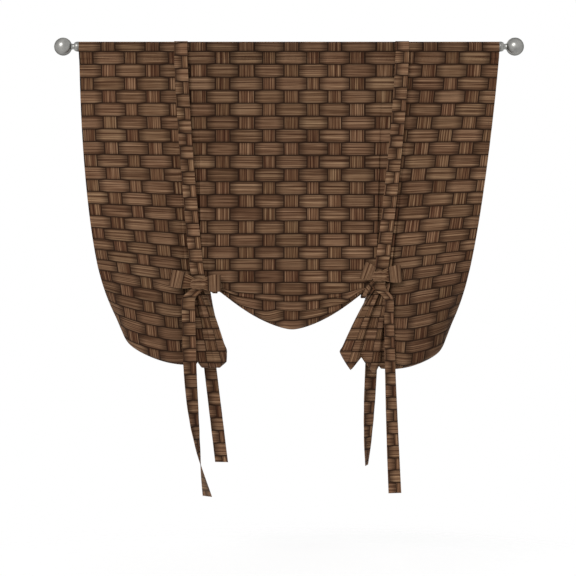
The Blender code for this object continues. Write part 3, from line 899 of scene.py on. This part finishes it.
def make_panel(finishes, thread):
    """The hemmed panel and its stitches; gives the panel and its points, for the straps that lie on it."""
    u, v = np.meshgrid(panel_columns(), panel_rows())
    grid = panel_surface(u, v)
    across = print_columns(u, v)
    down = print_rows(grid[..., 2], u, v)
    panel = cloth_piece(
        "panel_cloth", grid, across, down, panel_thickness(u, v), finishes
    )
    stitches = panel_stitches(thread)
    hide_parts("curtain_panel")
    return panel, grid.reshape(-1, 3)


# Straps


def smooth_stations(stations, steps):
    """Stations of (centre, across, width), however far apart, joined by one smooth curve."""
    rows = np.array([[*centre, *(np.array(across) * width)] for centre, across, width in stations])
    gaps = np.linalg.norm(np.diff(rows[:, :3], axis=0), axis=1)[:, None]
    slopes = np.diff(rows, axis=0) / gaps
    inner = (slopes[:-1] * gaps[1:] + slopes[1:] * gaps[:-1]) / (gaps[:-1] + gaps[1:])
    tangents = np.vstack([slopes[:1], inner, slopes[-1:]])
    made = []
    for i, gap in enumerate(gaps):
        for t in np.linspace(0, 1, steps, endpoint=False):
            start = (1 + 2 * t) * (1 - t) ** 2 * rows[i] + t * (1 - t) ** 2 * gap * tangents[i]
            end = t**2 * (3 - 2 * t) * rows[i + 1] - t**2 * (1 - t) * gap * tangents[i + 1]
            made.append(start + end)
    made.append(rows[-1])
    made = np.array(made)
    return made[:, :3], made[:, 3:]


def over_the_pocket(x, front):
    """Stations of a strap from its seam on top of the pocket, down the front or the back."""
    stations = []
    for degrees in POCKET_STOPS:
        angle = math.radians(degrees) * (1 if front else -1)
        centre = (x, -STRAP_OFFSET * math.sin(angle), POCKET_CENTRE + STRAP_OFFSET * math.cos(angle))
        stations.append((centre, (1, 0, 0), STRAP_WIDTH))
    return stations


def clear_of(cloth, x, z, front):
    """The y of the cloth's face, front or back, near a place on a strap; none where no cloth is near."""
    near = (np.abs(cloth[:, 0] - x) < STRAP_WIDTH) & (np.abs(cloth[:, 2] - z) < 2 * STRAP_WIDTH)
    if not near.any():
        return None
    return cloth[near, 1].min() if front else cloth[near, 1].max()


def loose_end(cloth, side, end, y, front):
    """Stations of a strap's end, which hangs before or behind the cloth and turns as it goes down."""
    stations = []
    way = -1 if front else 1
    for share in END_STOPS:
        x = side["sign"] * mix(end["top"], end["low"], share ** end["late"])
        z = -TIE_DEPTH - mix(END_START, end["drop"], share)
        turn = end["twist"] * share**TWIST_EASE
        face = clear_of(cloth, x, z, front)
        if face is not None:
            swing = abs(math.sin(turn)) * STRAP_WIDTH / 2
            beside = face + way * (CLOTH + STRAP_CLOTH + CLEARANCE + swing)
            y = way * max(way * y, way * beside)
        width = STRAP_WIDTH * mix(end["gathered"], 1.0, share)
        stations.append(((x, y, z), (math.cos(turn), math.sin(turn), 0), width))
    return stations


def front_stations(side, cloth):
    """A front strap: over the pocket, down to the pleats that it holds, and its loose end."""
    top = side["sign"] * side["strap_top"]
    stations = over_the_pocket(top, front=True)
    for share in FRONT_STOPS:
        y = mix(-STRAP_OFFSET, STRAP_FRONT_Y, min(share / FRONT_REACHED, 1.0))
        x = mix(top, tie_centre(side), share**STRAP_EASE)
        stations.append(((x, y, -TIE_DEPTH * share), (1, 0, 0), STRAP_WIDTH))
    return stations + loose_end(cloth, side, side["front_end"], STRAP_FRONT_Y, front=True)


def back_stations(side, cloth):
    """A back strap: behind the pocket, straight down behind the panel, and its loose end."""
    top = side["sign"] * side["strap_top"]
    low = side["sign"] * side["back_end"]["top"]
    stations = over_the_pocket(top, front=False)
    for share in BACK_STOPS:
        y = mix(STRAP_OFFSET, BACK_STRAP_Y, share**3)
        x = mix(top, low, share**STRAP_EASE)
        stations.append(((x, y, -TIE_DEPTH * share), (1, 0, 0), STRAP_WIDTH))
    return stations + loose_end(cloth, side, side["back_end"], BACK_STRAP_Y, front=False)


def make_strap(node, stations, cut, finishes, thread):
    """A hemmed strap with soft cross folds, and its stitches."""
    centres, spans = smooth_stations(stations, STRAP_STEPS)
    along = run_along(centres)
    faces = np.cross(np.gradient(centres, axis=0), spans)
    faces /= np.linalg.norm(faces, axis=1, keepdims=True)
    across = np.concatenate([[-0.5, -0.43], np.linspace(-0.38, 0.38, 9), [0.43, 0.5]])
    grid = centres[:, None] + spans[:, None] * across[None, :, None]
    crumple = 0.0005 * np.sin(along * 70 + 2 * np.sin(along * 23))[:, None] * np.sin(across * 5)[None]
    grid = grid + faces[:, None] * crumple[..., None]
    thickness = CLOTH + STRAP_HEM_EXTRA * (np.abs(across) * STRAP_WIDTH > STRAP_WIDTH / 2 - STRAP_HEM)
    u = cut["u"] + across * STRAP_WIDTH * cut["across"]
    v = cut["v"] + along[:, None] * cut["down"]
    strap = cloth_piece(f"{node}_cloth", grid, u, v, thickness, finishes)
    stitches = strap_stitches(f"{node}_stitches", centres, spans, faces, thread)
    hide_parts(node)


# Bows


def make_bow(node, side, finishes):
    """The knot's wrap, its two ears and the tongue under the hem, all of the straps' own cloth."""
    knot_y = STRAP_FRONT_Y - STRAP_CLOTH / 2 - CLEARANCE - BOW_DEPTH / 2
    knot = np.array((tie_centre(side), knot_y, -TIE_DEPTH + side["raised"]))
    for label, sign, (length, tilt) in zip(("left", "right"), (-1, 1), side["ears"]):
        make_ear(f"{node}_{label}_loop", node, knot, sign, length, tilt, finishes)
    make_wrap(node, knot, finishes)
    make_tongue(node, side, knot, finishes)


def make_ear(name, node, knot, sign, length, tilt, finishes):
    """A loop of a bow: out along its back, round its tip and in along its front, creased near the knot."""
    out = np.array((sign * math.cos(tilt), 0, math.sin(tilt)))
    across = (-sign * math.sin(tilt), 0, math.cos(tilt))
    stations = []
    for share, back, wide in EAR_STOPS:
        centre = out * length * share + np.array((0, back * EAR_DEPTH / 2, 0))
        stations.append((centre, across, EAR_HEIGHT * wide))
    centres, spans = smooth_stations(stations, BOW_STEPS)
    # The print's face is outside on both ears
    span = np.linspace(-0.5, 0.5, 15) * -sign
    grid = centres[:, None] + spans[:, None] * span[None, :, None]
    near = 1 - np.clip(np.abs(centres @ out) / length, 0.0, 1.0)
    creases = near[:, None] ** 1.2 * np.cos(span * 2 * math.pi * EAR_CREASES + 0.8)
    grid[..., 1] += EAR_CREASE_DEPTH * creases * np.sign(centres[:, 1] + 1e-6)[:, None]
    along = run_along(centres)
    u = BOW_PRINT[0] + span * STRAP_WIDTH
    v = BOW_PRINT[1] + along[:, None] - along[-1] / 2
    ear = cloth_piece(name, grid + knot, u, v, BOW_CLOTH, finishes)
    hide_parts(node)


def make_wrap(node, knot, finishes):
    """The strap's turn round the crossing, full in the middle and creased by the pull."""
    turns = np.linspace(0, 2 * math.pi, 40, endpoint=False)[:, None]
    share = np.linspace(-1, 1, 17)
    full = 1 - 0.30 * np.abs(share) ** 2.5
    crease = WRAP_CREASE * np.sin(share * 9 + 1.5 * np.sin(turns)) + 0.0005 * np.sin(share * 17 - turns)
    x = share * BOW_LENGTH / 2 + 0.0012 * np.sin(turns * 2)
    y = -np.sin(turns) * (BOW_DEPTH / 2 * full + crease)
    z = np.cos(turns) * (BOW_HEIGHT / 2 * full + crease)
    grid = np.stack([x, y, z], axis=-1) + knot
    u = BOW_PRINT[0] + share * STRAP_WIDTH / 2
    v = BOW_PRINT[1] + turns * ROW_PITCH / math.pi
    wrap = cloth_piece(f"{node}_wrap", grid, u, v, BOW_CLOTH, finishes, ring=True)
    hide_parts(node)


def make_tongue(node, side, knot, finishes):
    """The narrow fold of strap that passes under the hem and holds the back strap."""
    sign = side["sign"]
    x = sign * (GATHER_INNER - TONGUE_INSET)
    drop = float(swag_drop(x - sign * TONGUE_WIDTH))
    under = -TIE_DEPTH - drop - HEM_EXTRA - STRAP_CLOTH - CLEARANCE
    front = STRAP_FRONT_Y - 2 * STRAP_CLOTH
    behind = BACK_STRAP_Y + STRAP_CLOTH + 2 * CLEARANCE
    held_x = sign * side["back_end"]["top"]
    slanting = (TONGUE_SLANT[0], 0, -TONGUE_SLANT[1] * sign)
    level = (1, 0, 0)
    places = (
        (knot, slanting),
        ((mix(x, knot[0], 0.3), front, mix(under, knot[2], 0.4)), slanting),
        ((x, front, under - TONGUE_SLACK), level),
        ((x, front / 2, under - TONGUE_SLACK / 4), level),
        ((x, behind / 2, under - TONGUE_SLACK / 4), level),
        ((x, behind, under), level),
        ((mix(x, held_x, 0.4), behind, -TIE_DEPTH + TONGUE_WIDTH), slanting),
        ((held_x, behind, -TIE_DEPTH + 2 * TONGUE_WIDTH), slanting),
    )
    centres, spans = smooth_stations([(*place, TONGUE_WIDTH) for place in places], BOW_STEPS)
    across = np.linspace(-0.5, 0.5, 9)
    grid = centres[:, None] + spans[:, None] * across[None, :, None]
    along = run_along(centres)
    u = TONGUE_PRINT + across * STRAP_WIDTH / 2
    tongue = cloth_piece(
        f"{node}_tongue", grid, u, along[:, None], STRAP_CLOTH, finishes
    )
    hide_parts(node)


# Stitches


def stitch_line(places, normals):
    """Stitches along a line of points: the middle of each, its way and the way that it stands out."""
    lengths = run_along(places)
    count = int(lengths[-1] / STITCH_PITCH)
    at = (np.arange(count) + 0.5) * STITCH_PITCH
    picked = []
    for values in (places, np.gradient(places, lengths, axis=0), normals):
        picked.append(np.stack([np.interp(at, lengths, column) for column in values.T], axis=1))
    return picked


def stitches_mesh(name, lines, finish):
    """All the stitches of some lines in one mesh, each a short raised bar with sloping ends."""
    points = []
    faces = []
    for places, ways, normals in lines:
        ways /= np.linalg.norm(ways, axis=1, keepdims=True)
        normals /= np.linalg.norm(normals, axis=1, keepdims=True)
        sides = np.cross(ways, normals)
        for place, way, normal, beside in zip(places, ways, normals, sides):
            first = len(points)
            for along, rise in STITCH_PROFILE:
                for half in (-0.5, 0.5):
                    wide = half * (0.6 + 0.4 * rise) * STITCH_WIDTH
                    lift = (0.6 * rise - 0.2) * STITCH_WIDTH
                    points.append(place + way * along * STITCH_LENGTH + beside * wide + normal * lift)
            for k in range(3):
                a = first + 2 * k
                faces.append((a, a + 1, a + 3, a + 2))
            faces.append((first, first + 2, first + 4, first + 6))
            faces.append((first + 1, first + 7, first + 5, first + 3))
            faces.append((first, first + 6, first + 7, first + 1))
    mesh = bpy.data.meshes.new(name)
    mesh.from_pydata(points, [], faces)
    mesh.materials.append(finish)
    return add_piece(name, mesh)


def panel_stitches(finish):
    """Lines of stitches down both side hems, along the bottom hem and along the pocket's seam."""
    edge = PANEL_WIDTH / 2
    side_seam = edge - SIDE_HEM + HEM_SEAM_INSET
    down = np.linspace(SEAM_V + 0.002, PANEL_LENGTH - 0.003, 260)
    across = np.linspace(-edge + 0.003, edge - 0.003, 500)
    # The line at the seam is a step below it, so that no normal there is taken from the pocket
    step = 0.0005
    lines = []
    for u, v in (
        (np.full_like(down, -side_seam), down),
        (np.full_like(down, side_seam), down),
        (across, np.full_like(across, PANEL_LENGTH - BOTTOM_HEM + HEM_SEAM_INSET)),
        (across, np.full_like(across, SEAM_V + step)),
    ):
        places = panel_surface(u, v)
        by_u = panel_surface(u + step, v) - panel_surface(u - step, v)
        by_v = panel_surface(u, v + step) - panel_surface(u, v - step)
        normals = np.cross(by_v, by_u)
        normals /= np.linalg.norm(normals, axis=1, keepdims=True)
        face = panel_thickness(u, v)[:, None] / 2
        lines.append(stitch_line(places + normals * face, normals))
    return stitches_mesh("panel_stitches", lines, finish)


def strap_stitches(name, centres, spans, faces, finish):
    """Two lines of stitches, each along a hem of a strap."""
    lines = []
    for share in (-STRAP_SEAM_SHARE, STRAP_SEAM_SHARE):
        places = centres + spans * share + faces * STRAP_SEAM_RISE
        lines.append(stitch_line(places, faces))
    return stitches_mesh(name, lines, finish)


# Rod and finials


def turned(name, profile, finish):
    """A body turned round the x axis from a profile of (x, radius) points."""
    mesh = bmesh.new()
    verts = [mesh.verts.new((x, 0, radius)) for x, radius in profile]
    edges = [mesh.edges.new(pair) for pair in zip(verts, verts[1:])]
    bmesh.ops.spin(
        mesh, geom=verts + edges, axis=(1, 0, 0), cent=(0, 0, 0),
        angle=2 * math.pi, steps=TURNED_STEPS, use_merge=True,
    )
    bmesh.ops.remove_doubles(mesh, verts=mesh.verts, dist=1e-6)
    bmesh.ops.recalc_face_normals(mesh, faces=mesh.faces)
    made = bpy.data.meshes.new(name)
    mesh.to_mesh(made)
    mesh.free()
    made.shade_smooth()
    made.set_sharp_from_angle(angle=math.radians(35))
    made.materials.append(finish)
    return add_piece(name, made)


def make_finial(label, sign, finish):
    """A ball on a waisted neck, on a flared collar with a groove and a rolled rim, and its plug."""
    ball = BALL_DIAMETER / 2
    neck = NECK_DIAMETER / 2
    collar = COLLAR_DIAMETER / 2
    plug = PLUG_DIAMETER / 2
    seat = CLEARANCE
    neck_angle = math.asin(neck / ball)
    neck_start = seat + COLLAR_LENGTH
    centre = neck_start + NECK_LENGTH + ball * math.cos(neck_angle)
    profile = [(-PLUG_LENGTH, 0.0), (-PLUG_LENGTH, plug - PLUG_CHAMFER)]
    profile += [(-PLUG_LENGTH + PLUG_CHAMFER, plug), (seat, plug), (seat, collar - COLLAR_RIM)]
    for angle in np.linspace(0, math.pi, 9):
        x = seat + COLLAR_RIM * (1 - math.cos(angle))
        profile.append((x, collar - COLLAR_RIM + COLLAR_RIM * math.sin(angle)))
    groove = seat + 2 * COLLAR_RIM
    profile.append((groove + GROOVE_EDGE, collar - GROOVE_DEPTH))
    profile.append((groove + GROOVE_WIDTH, collar - GROOVE_DEPTH))
    for share in np.linspace(0, 1, 9):
        x = mix(groove + GROOVE_WIDTH + GROOVE_EDGE, neck_start, share)
        taper = mix(collar - COLLAR_RIM / 2, mix(neck, collar, COLLAR_TAPER), share**1.6)
        profile.append((x, taper))
    for share in np.linspace(0, 1, 8, endpoint=False):
        x = mix(neck_start, neck_start + NECK_LENGTH, share)
        profile.append((x, neck - NECK_WAIST * math.sin(math.pi * share)))
    for angle in np.linspace(math.pi - neck_angle, 0, 40, endpoint=False):
        profile.append((centre + ball * math.cos(angle), ball * math.sin(angle)))
    profile.append((centre + ball, 0.0))
    placed = [(sign * (ROD_END + x), radius) for x, radius in profile]
    finial = turned(f"finial_{label}_turned", placed, finish)
    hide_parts(f"finial_{label}")


def main():
    """Sets the scene and makes every piece, the panel first, because the straps lie on it."""
    make_camera()
    make_world()
    make_lamp("key", KEY_WAY, KEY_LIGHT)
    make_lamp("back_fill", BACK_WAY, BACK_LIGHT)
    make_floor(floor_finish())

    cloth = cloth_finishes("basket_print", PANEL_PAINTED_LIGHT)
    # The straps' copy of the print is painted lighter
    band_painted_lighter = cloth_finishes("band_print_painted_lighter", BAND_PAINTED_LIGHT)
    thread = thread_finish()
    nickel = nickel_finish()

    panel, points = make_panel(cloth, thread)
    for label, side in SIDES.items():
        front = front_stations(side, points)
        back = back_stations(side, points)
        make_strap(f"front_strap_{label}", front, side["cut"], band_painted_lighter, thread)
        make_strap(f"back_strap_{label}", back, side["cut"], band_painted_lighter, thread)
        make_bow(f"tie_bow_{label}", side, cloth)
        make_finial(label, side["sign"], nickel)
    # The plain rod stays as its CAD node
    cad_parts["curtain_rod"].material_slots[0].material = steel_finish()

    bpy.context.scene.view_settings.view_transform = "Standard"


main()
